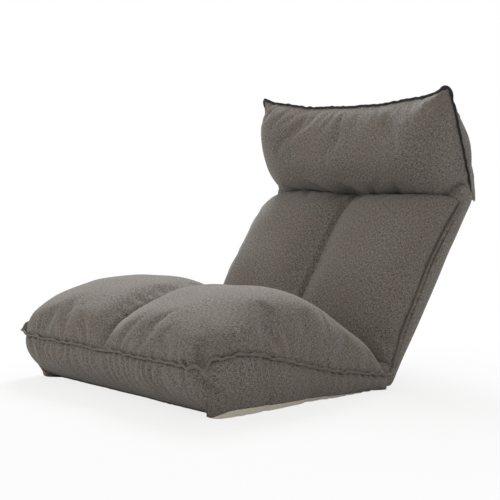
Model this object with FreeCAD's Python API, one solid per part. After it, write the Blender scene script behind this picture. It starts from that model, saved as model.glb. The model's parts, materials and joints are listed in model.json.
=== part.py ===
import FreeCAD, Part
import math
import os

# Folding floor chair: a seat, a back and a headrest of padded steel tube, joined by
# pairs of ratchet hinges. Millimetres and degrees, Z up, front towards -Y, X across.
# The origin is the centre of the face on which the seat stands on the floor.
# Each board is drawn from its own axis: Y along the board, Z out of its front.

# Boards and how they stand
axis_height = 22.0          # recline axis above the floor
back_length = 400.0         # recline axis to head axis
back_angle = 55.5           # back above the floor
head_angle = 55.5           # headrest forward of the back
base_front = 438.0          # floor contact, forward of the recline axis
base_rear = 28.0

# Frames of square steel tube
tube_width = 16.0
tube_wall = 1.2
frame_half_width = 230.0    # tube centre line
tube_start = 42.0           # tube mouth from an axis
seat_frame_reach = 392.0
seat_cross_at = (130.0, 265.0)
back_cross_at = (118.0, 290.0)
head_frame_reach = 162.0
groove_clearance = 0.3      # foam around a tube
pocket_clearance = 2.0      # foam around a ratchet

# Ratchet hinges
gear_thickness = 3.2
plate_thickness = 2.0
side_play = 0.1             # between gear and plate
tooth_pitch = 10.0
tip_radius = 12.4
root_radius = 10.7
lobe_radius = 13.0
lobe_width = 12.0
notches_folding = 6         # teeth from the drawn angle to folded
notches_reclining = 5       # and to flat
case_radius = 18.0
neck_at = 38.0              # case narrows to its shank here
shank_end = 74.0
shank_clearance = 0.1       # shank edge to tube bore
pivot_radius = 4.0
hole_clearance = 0.05
pawl_pin_at = 24.0
pawl_pin_radius = 2.5
pawl_boss_radius = 5.0
pawl_end_height = 4.4       # face that takes the push of a tooth
pawl_clearance = 0.12       # pawl nose in a notch
pawl_lift = 7.5             # turned clear of the teeth
tab_at = (-34.0, 1.5)       # tab folded from the inner plate, which holds the spring
tab_size = (2.2, 3.0)
spring_thickness = 0.6
spring_width = 2.6

# Seat
seat_half_width = 286.0
seat_foot_half_width = 272.0
seat_front = 462.0
seam_front_height = 86.0
seam_high_at = 380.0
seam_high = 103.0
seam_middle_at = 205.0
seam_middle = 60.0
seam_rear_at = 25.0
seam_rear = 29.0
side_belly = 2.0            # border bulges this far
cover_thickness = 2.0
base_cloth = 1.5
hem_front_height = 11.0
hem_ends_at = 110.0
flange_thickness = 1.6
flange_width = 6.0
axis_cover_radius = 21.8    # cover wrapped round an axis
cushion_steps = 12          # sections from a channel to a side seam
lobe_top = 0.48             # share of the half width where a lobe is highest

# Top of the seat pillow along its channel: front bulge, crown, slope to the hinge
seat_channel = ((-461.0, 114.0), (-436.0, 137.0), (-335.0, 182.0), (-232.0, 190.0), (-128.0, 122.0))
seat_crowns = (0.93, 1.15, 0.30)
seat_chords = (3, 4, 3)
rear_cover_end = -30.0      # directions about an axis at which its cover ends
front_cover_start = 60.0
head_cover_end = -60.0

# Back
back_half_width = 262.0
back_rear = 24.0            # rear face behind the axes
foam_gap = 24.5             # foam ends clear of an axis
pad_seam = ((26.0, -2.0), (225.0, 18.5), (382.0, 5.0))
pad_channel = ((78.0, 27.0), (126.0, 43.5), (238.0, 59.0), (345.0, 53.0), (374.0, 43.0))
pad_crowns = (0.94, 1.14, 0.12)
pad_chords = (2, 4, 2)

# Headrest
head_half_width = 265.0
head_seam_depth = 23.0      # seam plane behind the head axis
head_bottom = -4.0
head_corner_top = 219.0
head_top_sag = 24.0
head_core_half_width = 242.0
head_core = (26.0, 178.0)
head_core_front = 12.0
piping_thickness = 2.0
piping_width = 7.0
ear_length = 9.0
# Faces of the headrest: shares of its seam's length, and heights from the seam
head_front = ((0.03, 31.0), (0.13, 53.0), (0.53, 81.0), (0.87, 50.0), (0.97, 26.0))
head_rear = ((-0.03, -17.0), (0.04, -34.0), (0.38, -49.0), (0.74, -32.0), (0.91, -16.0))
head_crown_limits = (1.02, 0.12)
head_chords = (2, 3, 2)

V = FreeCAD.Vector
half_tube = tube_width / 2
half_bore = half_tube - tube_wall
case_half_thickness = gear_thickness / 2 + side_play + plate_thickness
hinge_y = (base_front + base_rear) / 2
groove = half_tube + groove_clearance
cover_inside = axis_cover_radius - base_cloth
axis_room = axis_cover_radius + 0.5


def frame(parent, along, height, turn):
    shift = FreeCAD.Placement(V(0, along, height), FreeCAD.Rotation())
    return parent.multiply(shift).multiply(
        FreeCAD.Placement(V(0, 0, 0), FreeCAD.Rotation(V(1, 0, 0), turn)))


SEAT_FLOOR = frame(FreeCAD.Placement(), hinge_y, 0, 0)
SEAT = frame(SEAT_FLOOR, 0, axis_height, 0)
BACK = frame(SEAT, 0, 0, back_angle)
BACK_TOP = frame(BACK, back_length, 0, 0)
HEAD = frame(BACK_TOP, 0, 0, head_angle)

nodes = {}


def keep(name, place, *solids):
    """File solids, drawn in a board's own frame, under the piece's name."""
    moved = []
    for solid in solids:
        whole = solid.removeSplitter()
        whole.Placement = place.multiply(whole.Placement)
        moved.extend(whole.Solids)
    nodes[name] = moved


def outline(x, start, *steps):
    """Closed wire across the width at x: a point is a line's end, a pair an arc's middle and end."""
    edges = []
    here = V(x, *start)
    for step in steps + (start,):
        if isinstance(step[0], tuple):
            there = V(x, *step[1])
            edges.append(Part.Arc(here, V(x, *step[0]), there).toShape())
        else:
            there = V(x, *step)
            if there.distanceToPoint(here) > 1e-6:
                edges.append(Part.LineSegment(here, there).toShape())
        here = there
    return Part.Wire(edges)


def prism(x0, x1, start, *steps):
    return Part.Face(outline(x0, start, *steps)).extrude(V(x1 - x0, 0, 0))


def block(x0, x1, y0, y1, z0, z1):
    return Part.makeBox(x1 - x0, y1 - y0, z1 - z0, V(x0, y0, z0))


def both_sides(x0, x1, y0, y1, z0, z1):
    return [block(x0, x1, y0, y1, z0, z1), block(-x1, -x0, y0, y1, z0, z1)]


def cross_rod(radius, half_length, y, z=0.0, x=0.0):
    return Part.makeCylinder(radius, 2 * half_length, V(x - half_length, y, z), V(1, 0, 0))


def polar(radius, angle):
    turn = math.radians(angle)
    return (radius * math.cos(turn), radius * math.sin(turn))


def cut_all(shape, tools):
    for tool in tools:
        shape = shape.cut(tool)
    return shape


# Ratchet hinges: a case on the lower board, a toothed arm on the upper one

contact_angle = 180 + math.degrees(math.acos(root_radius / pawl_pin_at))
shank_half_width = half_bore - shank_clearance


def gear_arm(x, turned):
    """Toothed sector on a shank. Each tooth has a radial flank, which meets the pawl, and a ramp."""
    foot = math.degrees(math.asin(shank_half_width / tip_radius))
    rest_flank = contact_angle - turned + math.degrees(pawl_clearance / root_radius)
    last = rest_flank + notches_reclining * tooth_pitch
    after_lobe = last + lobe_width
    before_teeth = last - (notches_folding + notches_reclining + 1) * tooth_pitch
    steps = [
        polar(tip_radius, -foot),
        (polar(tip_radius, (after_lobe + 360 - foot) / 2), polar(tip_radius, after_lobe)),
        polar(lobe_radius, after_lobe),
        (polar(lobe_radius, last + lobe_width / 2), polar(lobe_radius, last))]
    for tooth in range(notches_folding + notches_reclining + 1):
        flank = last - tooth * tooth_pitch
        steps.append(polar(root_radius, flank))
        steps.append(polar(tip_radius, flank - tooth_pitch))
    steps.append((polar(tip_radius, (before_teeth + foot) / 2), polar(tip_radius, foot)))
    steps.append((shank_end, shank_half_width))
    x0 = x - gear_thickness / 2
    arm = prism(x0, x0 + gear_thickness, (shank_end, -shank_half_width), *steps)
    return arm.cut(cross_rod(pivot_radius + hole_clearance, gear_thickness, 0, 0, x))


def case_plate(x):
    """Side of a case: a round head that narrows to the shank."""
    neck = math.hypot(neck_at, shank_half_width)
    tangent = 180 - math.degrees(math.atan2(shank_half_width, neck_at) + math.acos(case_radius / neck))
    x0 = x - plate_thickness / 2
    return prism(
        x0, x0 + plate_thickness,
        (-shank_end, -shank_half_width),
        (-neck_at, -shank_half_width),
        polar(case_radius, -tangent),
        ((case_radius, 0), polar(case_radius, tangent)),
        (-neck_at, shank_half_width),
        (-shank_end, shank_half_width))


def case_pins(x, growth):
    """The pivot and the pawl's pin, grown for the holes that they pass."""
    return [cross_rod(pivot_radius + growth, case_half_thickness, 0, 0, x),
            cross_rod(pawl_pin_radius + growth, case_half_thickness, -pawl_pin_at, 0, x)]


def spring_tab(x):
    """Tab folded across the case from its inner plate to its outer one."""
    half = gear_thickness / 2 + side_play
    y, z = tab_at
    return block(x - half, x + half, y - tab_size[0] / 2, y + tab_size[0] / 2,
                 z - tab_size[1] / 2, z + tab_size[1] / 2)


def pawl(x):
    """Locking pawl, drawn with its nose in a notch and then turned clear of the teeth."""
    nose_radius = root_radius + pawl_clearance
    push = contact_angle - 90
    outward = polar(pawl_boss_radius, push + 90)
    inward = polar(pawl_boss_radius - 1, push - 90)
    x0 = x - gear_thickness / 2
    arm = prism(x0, x0 + gear_thickness,
                polar(nose_radius, contact_angle),
                polar(nose_radius + pawl_end_height, contact_angle),
                (outward[0] - pawl_pin_at, outward[1]),
                (inward[0] - pawl_pin_at, inward[1]),
                polar(tip_radius + 2 * pawl_clearance, contact_angle - tooth_pitch))
    body = arm.fuse(cross_rod(pawl_boss_radius, gear_thickness / 2, -pawl_pin_at, 0, x))
    body = body.cut(cross_rod(pawl_pin_radius + hole_clearance, gear_thickness, -pawl_pin_at, 0, x))
    body.rotate(V(x, -pawl_pin_at, 0), V(1, 0, 0), -pawl_lift)
    return body


def pawl_spring(x):
    """Leaf seated on the tab and bent over to press on the pawl's boss."""
    foot = (tab_at[0] - tab_size[0] / 2, tab_at[1] + tab_size[1] / 2 + hole_clearance)
    bends = (foot, (tab_at[0] + tab_size[0], foot[1]), (-pawl_pin_at - 4.0, pawl_boss_radius + 1.5),
             (-pawl_pin_at + 1.0, pawl_boss_radius + side_play))
    over = [(y, z + spring_thickness) for y, z in reversed(bends)]
    x0 = x - spring_width / 2
    return prism(x0, x0 + spring_width, *bends, *over)


def ratchet_hinge(name, x, case_place, arm_place, turned):
    plate_offset = math.copysign((gear_thickness + plate_thickness) / 2 + side_play, x)
    inner = cut_all(case_plate(x - plate_offset), case_pins(x, hole_clearance))
    keep(name + "_case_inner_plate", case_place, inner.fuse(spring_tab(x)))
    keep(name + "_case_outer_plate", case_place, case_plate(x + plate_offset).fuse(case_pins(x, 0)))
    keep(name + "_gear_arm", arm_place, gear_arm(x, turned))
    keep(name + "_pawl", case_place, pawl(x))
    keep(name + "_pawl_spring", case_place, pawl_spring(x))


def hinge_pocket(y0, y1):
    """Room in the padding round the ratchets of one axis."""
    half = case_half_thickness + pocket_clearance
    room = case_radius + pocket_clearance
    return both_sides(frame_half_width - half, frame_half_width + half, y0, y1, -room, room)


SIDES = (("left", -frame_half_width), ("right", frame_half_width))
for side, x in SIDES:
    ratchet_hinge("recline_" + side, x, SEAT, BACK, back_angle)
    ratchet_hinge("head_" + side, x, BACK_TOP, HEAD, head_angle)


# Frames: side tubes pushed over the shanks and welded, joined by butted bars

def side_tube(x, y0, y1):
    tube = block(x - half_tube, x + half_tube, y0, y1, -half_tube, half_tube)
    return tube.cut(block(x - half_bore, x + half_bore, y0, y1, -half_bore, half_bore))


def cross_tube(half_length, y):
    tube = block(-half_length, half_length, y - half_tube, y + half_tube, -half_tube, half_tube)
    return tube.cut(block(-half_length, half_length, y - half_bore, y + half_bore, -half_bore, half_bore))


between_tubes = frame_half_width - half_tube
over_tubes = frame_half_width + half_tube
for side, x in SIDES:
    keep("seat_side_tube_" + side, SEAT, side_tube(x, half_tube - seat_frame_reach, -tube_start))
    keep("back_side_tube_" + side, BACK, side_tube(x, tube_start, back_length - tube_start))
    keep("head_side_tube_" + side, HEAD, side_tube(x, tube_start, head_frame_reach - half_tube))
keep("seat_front_tube", SEAT, cross_tube(over_tubes, -seat_frame_reach))
keep("head_top_tube", HEAD, cross_tube(over_tubes, head_frame_reach))
keep("seat_cross_tubes", SEAT, *[cross_tube(between_tubes, -y) for y in seat_cross_at])
keep("back_cross_tubes", BACK, *[cross_tube(between_tubes, y) for y in back_cross_at])


def tube_channels(y0, y1, bars):
    """Channels cut in foam for the side tubes and the bars of a frame."""
    tools = both_sides(frame_half_width - groove, frame_half_width + groove, y0, y1, -groove, groove)
    across = frame_half_width + groove
    return tools + [block(-across, across, y - groove, y + groove, -groove, groove) for y in bars]


# Cushions: lofts through sections of short lines along arcs

def chord_points(points, counts):
    """Points along the arcs through each three points, counts of them to an arc."""
    spread = [V(0, *points[0])]
    for i, count in enumerate(counts):
        arc = Part.Arc(*[V(0, *point) for point in points[2 * i:2 * i + 3]]).toShape()
        spread.extend(arc.discretize(count + 1)[1:])
    return spread


def cushion_section(x, crown, base, points, counts):
    """Section at x, its height above the base line scaled by the crown."""
    raised = [(y, base(y) + crown * (z - base(y))) for y, z in points]
    corners = [V(x, p.y, p.z) for p in chord_points(raised, counts)]
    return Part.makePolygon(corners + corners[:1])


def stations(width):
    """Places from 0 to the width, close together at both ends."""
    return [width * (1 - math.cos(math.pi * i / cushion_steps)) / 2 for i in range(cushion_steps + 1)]


def lobe_crown(share, channel, peak, edge):
    """Up from the channel, over the lobe, and down to the side seam."""
    if share < lobe_top:
        return peak - (peak - channel) * (1 - share / lobe_top) ** 2.2
    return peak - (peak - edge) * ((share - lobe_top) / (1 - lobe_top)) ** 5


def two_lobes(half_width, crowns, base, points, counts):
    """Half cushion from its channel to a side seam, joined to its mirror image."""
    half = Part.makeLoft([
        cushion_section(x, lobe_crown(x / half_width, *crowns), base, points, counts)
        for x in stations(half_width)], True, True)
    return half.fuse(half.mirror(V(0, 0, 0), V(1, 0, 0)))


def straight_base(points):
    first, last = points[0], points[-1]
    slope = (last[1] - first[1]) / (last[0] - first[0])
    return lambda y: first[1] + slope * (y - first[0])


# Seat padding and cover, drawn from the floor under the recline axis

def seat_side(inset):
    """Side view of the seat base: flat foot, rounded toe, leaning front, top along the seam."""
    front = -seat_front + inset
    toe = -base_front + inset
    return ((-base_rear, 0.0), (toe + 24.0, 0.0),
            ((toe - 5.0, 10.0), (front + 7.0, 34.0)),
            ((front + 0.5, 62.0), (front, seam_front_height)),
            (-seam_high_at, seam_high),
            ((-seam_middle_at, seam_middle), (-seam_rear_at, seam_rear)))


def seat_section(inset):
    """Front view: sides that draw in towards the floor."""
    wide = seat_half_width - inset
    foot = seat_foot_half_width - inset
    belly = ((wide + foot) / 2 + side_belly, seam_high * 0.4)
    top = 2 * seam_high
    left = [V(-wide, 0, top), V(-wide, 0, seam_high), V(-belly[0], 0, belly[1]), V(-foot, 0, 0)]
    right = [V(-p.x, 0, p.z) for p in reversed(left)]
    shape = Part.Face(Part.Wire([
        Part.LineSegment(left[0], left[1]).toShape(),
        Part.Arc(left[1], left[2], left[3]).toShape(),
        Part.LineSegment(left[3], right[0]).toShape(),
        Part.Arc(right[0], right[1], right[2]).toShape(),
        Part.LineSegment(right[2], right[3]).toShape(),
        Part.LineSegment(right[3], left[0]).toShape()]))
    shape.translate(V(0, -2 * seat_front, 0))
    return shape.extrude(V(0, 4 * seat_front, 0))


seat_prism = prism(-2 * seat_half_width, 2 * seat_half_width, *seat_side(0.0))
seat_body = seat_prism.common(seat_section(0.0))
inner_front = seat_side(cover_thickness)[1:4]
inside = prism(
    -seat_half_width, seat_half_width,
    (seat_front, -seam_high), (-base_front / 2, -seam_high), *inner_front,
    (-seat_front + cover_thickness, 2 * seam_high), (seat_front, 2 * seam_high))
inside = inside.common(seat_section(cover_thickness))
skin = seat_body.cut(inside)

hem_slope = (hem_front_height - base_cloth) / (base_front - hem_ends_at)
below_hem = prism(
    -seat_front, seat_front,
    (seat_front, -1.0), (-seat_front, -1.0),
    (-seat_front, base_cloth + hem_slope * (seat_front - hem_ends_at)),
    (-hem_ends_at, base_cloth), (seat_front, base_cloth))
base_sheet = seat_body.common(block(-seat_half_width, seat_half_width, -seat_front, 0, 0, base_cloth))
keep("seat_base_cloth", SEAT_FLOOR, skin.common(below_hem).fuse(base_sheet))
keep("seat_border", SEAT_FLOOR, skin.cut(below_hem))

seat_rooms = tube_channels(-seat_frame_reach, -tube_start, [-y for y in seat_cross_at + (seat_frame_reach,)])
seat_rooms += hinge_pocket(-tube_start, case_radius)
for room in seat_rooms:
    room.translate(V(0, 0, axis_height))
seat_foam = seat_body.common(inside).cut(base_sheet)
keep("seat_base_foam", SEAT_FLOOR, cut_all(seat_foam, seat_rooms))

seat_top = ((-seat_front, seam_front_height),) + seat_channel + ((-seam_rear_at, seam_rear),)
pillow = two_lobes(seat_half_width, seat_crowns, straight_base(seat_top), seat_top, seat_chords)
keep("seat_pillow", SEAT_FLOOR, cut_all(pillow, [seat_prism] + seat_rooms))


def along_seam(lift):
    """The seat's seam, from the front to the hinge, lifted by half a thickness."""
    return (-seam_high_at, seam_high + lift), (
        (-seam_middle_at, seam_middle + lift), (-seam_rear_at, seam_rear + lift))


half_flange = flange_thickness / 2
flange_front = -seat_front - flange_width
flange_reach = seat_half_width + flange_width
flange = prism(
    -flange_reach, flange_reach,
    (flange_front, seam_front_height - half_flange), (flange_front, seam_front_height + half_flange),
    *along_seam(half_flange),
    (-seam_rear_at, seam_rear - half_flange),
    ((-seam_middle_at, seam_middle - half_flange), (-seam_high_at, seam_high - half_flange)))
flange = flange.cut(block(-seat_half_width, seat_half_width, -seat_front, 0, 0, 2 * seam_high))
keep("seat_seam_flange", SEAT_FLOOR, flange)


# Covers wrapped round the axes

def sleeve(half_width, start, end):
    """Cloth at the cover's radius, between two angles about the axis."""
    middle = (start + end) / 2
    return prism(
        -half_width, half_width,
        polar(axis_cover_radius, start),
        (polar(axis_cover_radius, middle), polar(axis_cover_radius, end)),
        polar(cover_inside, end),
        (polar(cover_inside, middle), polar(cover_inside, start)))


arm_gap = case_half_thickness + pocket_clearance
arm_slots = both_sides(frame_half_width - arm_gap, frame_half_width + arm_gap,
                       -base_rear, axis_cover_radius, -base_cloth, axis_cover_radius)
foot_strip = block(-back_half_width, back_half_width, -base_rear, 0, -axis_cover_radius, -cover_inside)
cheek = [(-base_rear, -axis_cover_radius), (0, -axis_cover_radius),
         (polar(axis_cover_radius, 0), polar(axis_cover_radius, 90)),
         (-base_rear, seam_rear - axis_height)]
hinge_cover = sleeve(back_half_width, -90, rear_cover_end).fuse(foot_strip)
crease_strip = block(-back_half_width, back_half_width, -base_rear, -cover_inside, -base_cloth, 0)
crease = sleeve(back_half_width, front_cover_start, 180).fuse(crease_strip)
hinge_cover = hinge_cover.fuse(cut_all(crease, arm_slots))
for x0 in (-back_half_width, back_half_width - base_cloth):
    hinge_cover = hinge_cover.fuse(prism(x0, x0 + base_cloth, *cheek))
seat_side_view = seat_prism.translated(V(0, 0, -axis_height))
keep("hinge_cover", SEAT, hinge_cover.cut(seat_side_view))

neck_strip = block(-back_half_width, back_half_width, -foam_gap, 0, -axis_cover_radius, -cover_inside)
keep("head_hinge_cover", BACK_TOP, sleeve(back_half_width, -90, head_cover_end).fuse(neck_strip))


# Back padding and cover, drawn from the recline axis

foam_rear = -back_rear + cover_thickness
back_body = prism(
    -back_half_width, back_half_width,
    (0.0, foam_rear), (back_length, foam_rear), (back_length, 0.0), pad_seam[2],
    (pad_seam[1], pad_seam[0]), (0.0, pad_seam[0][1]))
back_rooms = [block(-back_half_width, back_half_width, y0, y0 + foam_gap, -back_length, back_length)
              for y0 in (0.0, back_length - foam_gap)]
back_rooms += tube_channels(tube_start, back_length - tube_start, back_cross_at)
back_rooms += hinge_pocket(0.0, tube_start)
back_rooms += hinge_pocket(back_length - tube_start, back_length)
keep("back_foam", BACK, cut_all(back_body, back_rooms))
keep("back_rear_cover", BACK, block(
    -back_half_width, back_half_width, 0.0, back_length - foam_gap, -back_rear, foam_rear))

pad_top = pad_seam[:1] + pad_channel + pad_seam[-1:]
pad = two_lobes(back_half_width, pad_crowns, straight_base(pad_top), pad_top, pad_chords)
keep("back_pad", BACK, cut_all(pad, [back_body] + back_rooms[2:]))


def gusset(x0):
    """Side strip from the rear cover to the pad's seam, round the ratchets at the top."""
    above = [(back_length + y, z) for y, z in (
        polar(axis_cover_radius, -90), polar(axis_cover_radius, 0), polar(axis_cover_radius, 90))]
    return prism(
        x0, x0 + cover_thickness,
        (0.0, -back_rear), (back_length - foam_gap, -back_rear), above[0],
        (above[1], above[2]), pad_seam[2],
        (pad_seam[1], pad_seam[0]), polar(foam_gap, 0),
        (polar(foam_gap, -45), (0.0, -back_rear)))


def seam_band(x0, x1):
    """Flange along the pad's side seam."""
    upper = [(y, z + half_flange) for y, z in pad_seam]
    lower = [(y, z - half_flange) for y, z in pad_seam]
    return prism(x0, x1, lower[0], upper[0], (upper[1], upper[2]), lower[2], (lower[1], lower[0]))


gusset_face = back_half_width + cover_thickness
keep("back_side_gusset_left", BACK, gusset(-gusset_face))
keep("back_side_gusset_right", BACK, gusset(back_half_width))
keep("back_seam_flange", BACK, seam_band(gusset_face, gusset_face + flange_width),
     seam_band(-gusset_face - flange_width, -gusset_face))


# Headrest padding and cover, drawn from the head axis

def head_top_at(x):
    """Top seam: high at the corners, hanging lower in the middle."""
    return head_corner_top - head_top_sag * (1 - (x / head_half_width) ** 2)


def head_half(face):
    """One face of the headrest: a wide crown that falls away towards the side seams."""
    peak, edge = head_crown_limits
    sections = []
    for x in stations(2 * head_half_width):
        x -= head_half_width
        crown = peak - (peak - edge) * abs(x / head_half_width) ** 8
        length = head_top_at(x) - head_bottom
        spread = ((0.0, 0.0),) + face + ((1.0, 0.0),)
        points = [(head_bottom + share * length, z - head_seam_depth) for share, z in spread]
        sections.append(cushion_section(x, crown, straight_base(points), points, head_chords))
    return Part.makeLoft(sections, True, True)


head_foam = block(-head_core_half_width, head_core_half_width, head_core[0], head_core[1],
                  -head_seam_depth, head_core_front)
head_rooms = tube_channels(tube_start, head_frame_reach, (head_frame_reach,))
head_rooms += hinge_pocket(-case_radius, tube_start)
around_axis = cross_rod(axis_room, 2 * head_half_width, 0)
keep("head_core_foam", HEAD, cut_all(head_foam, head_rooms))
head_halves = [head_half(head_front), head_half(head_rear)]
keep("head_pillow_front", HEAD, cut_all(head_halves[0], [head_foam, around_axis] + head_rooms))
keep("head_pillow_rear", HEAD, head_halves[1])


def piping_outline(growth, ear):
    """The headrest's seam, grown outwards, its top corners drawn out into ears."""
    side = head_half_width + growth
    bottom = head_bottom - growth
    top = head_corner_top + growth + ear
    right = V(side + ear / 2, top, 0)
    left = V(-side - ear / 2, top, 0)
    return Part.Wire([
        Part.LineSegment(V(-side, bottom, 0), V(side, bottom, 0)).toShape(),
        Part.LineSegment(V(side, bottom, 0), right).toShape(),
        Part.Arc(right, V(0, head_top_at(0) + growth, 0), left).toShape(),
        Part.LineSegment(left, V(-side, bottom, 0)).toShape()])


piping = Part.Face(piping_outline(piping_width, ear_length)).cut(Part.Face(piping_outline(0.0, 0.0)))
piping = piping.extrude(V(0, 0, piping_thickness))
piping.translate(V(0, 0, -head_seam_depth - piping_thickness / 2))
keep("head_piping", HEAD, cut_all(piping, head_halves))

os.makedirs("parts", exist_ok=True)
for name, solids in nodes.items():
    shape = solids[0] if len(solids) == 1 else Part.makeCompound(solids)
    shape.exportStep("parts/" + name + ".step")
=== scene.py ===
import bpy
import json
import math
import numpy as np
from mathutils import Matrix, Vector, noise


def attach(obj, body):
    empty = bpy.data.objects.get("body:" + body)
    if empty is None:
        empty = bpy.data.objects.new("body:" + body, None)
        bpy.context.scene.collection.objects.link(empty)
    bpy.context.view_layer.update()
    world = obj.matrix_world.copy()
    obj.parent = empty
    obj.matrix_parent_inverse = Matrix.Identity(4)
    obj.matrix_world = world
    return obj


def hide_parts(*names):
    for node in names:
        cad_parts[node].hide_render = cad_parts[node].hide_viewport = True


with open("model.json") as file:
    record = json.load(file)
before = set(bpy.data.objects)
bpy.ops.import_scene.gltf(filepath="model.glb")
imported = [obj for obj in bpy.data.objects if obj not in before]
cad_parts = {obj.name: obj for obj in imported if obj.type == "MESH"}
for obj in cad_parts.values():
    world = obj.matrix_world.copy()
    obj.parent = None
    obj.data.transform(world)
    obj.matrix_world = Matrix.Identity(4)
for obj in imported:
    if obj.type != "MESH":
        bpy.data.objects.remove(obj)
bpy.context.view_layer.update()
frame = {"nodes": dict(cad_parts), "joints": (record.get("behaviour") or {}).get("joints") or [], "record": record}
scene = bpy.context.scene

# Studio: a pale floor with a soft shadow under the chair, a broad lamp above and behind
# the far side, as from a high window, and a weak one from the near left. The camera
# stands low in front of the chair's near corner, as in the photograph.

camera_place = Vector((1.664, -1.355, 0.404))
camera_aim = Vector((-0.7459, 0.6624, -0.0697))
camera = bpy.data.objects.new("camera", bpy.data.cameras.new("camera"))
camera.data.lens = 81.5
camera.location = camera_place
camera.rotation_euler = camera_aim.to_track_quat("-Z", "Y").to_euler()
scene.collection.objects.link(camera)
scene.camera = camera
scene.view_settings.view_transform = "Standard"


def lamp(name, place, aim, size, power, colour):
    light = bpy.data.objects.new(name, bpy.data.lights.new(name, "AREA"))
    light.data.size = size
    light.data.energy = power
    light.data.color = colour
    light.location = place
    light.rotation_euler = (Vector(aim) - Vector(place)).to_track_quat("-Z", "Y").to_euler()
    scene.collection.objects.link(light)


lamp("window", place=(-1.3, 1.5, 2.3), aim=(0, 0.1, 0.2), size=1.3, power=76,
     colour=(0.93, 0.97, 1.0))
lamp("near_left", place=(-1.6, -1.8, 1.9), aim=(0, 0, 0.2), size=1.8, power=12,
     colour=(1.0, 0.97, 0.93))


class Wire:
    """A socket of a material, with arithmetic that adds Math nodes."""

    def __init__(self, look, socket):
        self.look = look
        self.socket = socket

    def math(self, operation, *others):
        return self.look.node("ShaderNodeMath", {"operation": operation}, [self, *others])

    def __add__(self, other):
        return self.math("ADD", other)

    def __mul__(self, other):
        return self.math("MULTIPLY", other)

    __radd__ = __add__
    __rmul__ = __mul__


class Look:
    """The node tree of a material or of the world."""

    def __init__(self, owner):
        owner.use_nodes = True
        self.owner = owner
        self.tree = owner.node_tree
        self.tree.nodes.clear()

    def node(self, kind, settings=None, inputs=(), out=0):
        """Add a node with its settings, then the values or links of its sockets."""
        made = self.tree.nodes.new(kind)
        for key, value in (settings or {}).items():
            setattr(made, key, value)
        pairs = inputs.items() if isinstance(inputs, dict) else enumerate(inputs)
        for key, value in pairs:
            if isinstance(value, Wire):
                self.tree.links.new(value.socket, made.inputs[key])
            else:
                made.inputs[key].default_value = value
        return Wire(self, made.outputs[out]) if len(made.outputs) else made

    def mix(self, share, low, high):
        """Colour from low to high."""
        return self.node("ShaderNodeMix", {"data_type": "RGBA"}, {0: share, 6: low, 7: high}, 2)

    def end(self, kind, shader):
        self.node(kind, None, {"Surface": shader})
        return self.owner


# The camera sees white behind the floor, while a weaker and warmer room lights the chair.
# To the camera the floor glows too, more so away from the chair, so that no horizon shows.

room_strength = 0.58
floor_grey = 0.80
white_near = 0.4
white_far = 1.5
white_least = 0.80
floor_reach = 6.0

world = bpy.data.worlds.new("studio")
scene.world = world
look = Look(world)
rays = ("Is Camera Ray", "Is Glossy Ray", "Is Transmission Ray")
path = [look.node("ShaderNodeLightPath", out=name) for name in rays]
seen = path[0].math("MAXIMUM", path[1]).math("MAXIMUM", path[2])
room = look.node("ShaderNodeBackground", None, {"Color": (1.0, 0.97, 0.93, 1), "Strength": room_strength})
white = look.node("ShaderNodeBackground", None, {"Color": (1, 1, 1, 1), "Strength": 1.0})
look.end("ShaderNodeOutputWorld", look.node("ShaderNodeMixShader", None, [seen, room, white]))

floor = bpy.data.objects.new("floor", bpy.data.meshes.new("floor"))
corners = [(-floor_reach, -floor_reach, 0), (floor_reach, -floor_reach, 0),
           (floor_reach, floor_reach, 0), (-floor_reach, floor_reach, 0)]
floor.data.from_pydata(corners, [], [(0, 1, 2, 3)])
scene.collection.objects.link(floor)
look = Look(bpy.data.materials.new("studio_floor"))
matt = look.node("ShaderNodeBsdfDiffuse", None, {"Color": (floor_grey, floor_grey, floor_grey, 1)})
glow = look.node("ShaderNodeEmission", None, {"Color": (1, 1, 1, 1), "Strength": 1.0})
eye = look.node("ShaderNodeLightPath", out="Is Camera Ray")
where = look.node("ShaderNodeTexCoord", out="Object")
distance = look.node("ShaderNodeVectorMath", {"operation": "LENGTH"}, [where], "Value")
white_share = look.node("ShaderNodeMapRange", None, [distance, white_near, white_far, white_least, 1.0])
paint = look.node("ShaderNodeMixShader", None, [eye * white_share, matt, glow])
floor.data.materials.append(look.end("ShaderNodeOutputMaterial", paint))


# Seat pillow: a thick filled pillow in two lobes, of linen weave, sewn to the border round
# its edge and drawn down along the middle. The cloth is puffed over its filling by a cloth
# simulation that holds the seams, and the tucks at its near corner are pressed in after it.

def along(points, count):
    """Smooth curve through points, sampled evenly along its length."""
    fine = 24
    p = np.array(points, float)
    ends = np.vstack([2 * p[0] - p[1], p, 2 * p[-1] - p[-2]])
    t = np.linspace(0, 1, fine, endpoint=False)[:, None]
    spans = [0.5 * (2 * b + (c - a) * t + (2 * a - 5 * b + 4 * c - d) * t ** 2
                    + (3 * b - a - 3 * c + d) * t ** 3)
             for a, b, c, d in zip(ends, ends[1:], ends[2:], ends[3:])]
    return spaced(np.vstack(spans + [p[-1:]]), count)


def spaced(curve, count):
    """Points spread evenly along a dense curve."""
    length = run(curve)
    even = np.linspace(0, length[-1], count)
    return np.column_stack([np.interp(even, length, column) for column in curve.T])


def run(curve):
    """Length along a curve up to each of its points."""
    return np.r_[0, np.cumsum(np.linalg.norm(np.diff(curve, axis=0), axis=1))]


def height_at(points, y):
    """Height of a smooth curve through points at y."""
    curve = along(points, 200)
    return np.interp(y, curve[:, 0], curve[:, 1])


seam_x = 0.286
front_y = -0.230
rear_y = 0.214
corner_radius = 0.042
seat_rows = 84
seat_columns = 97
seat_overhang = 0.006

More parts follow.
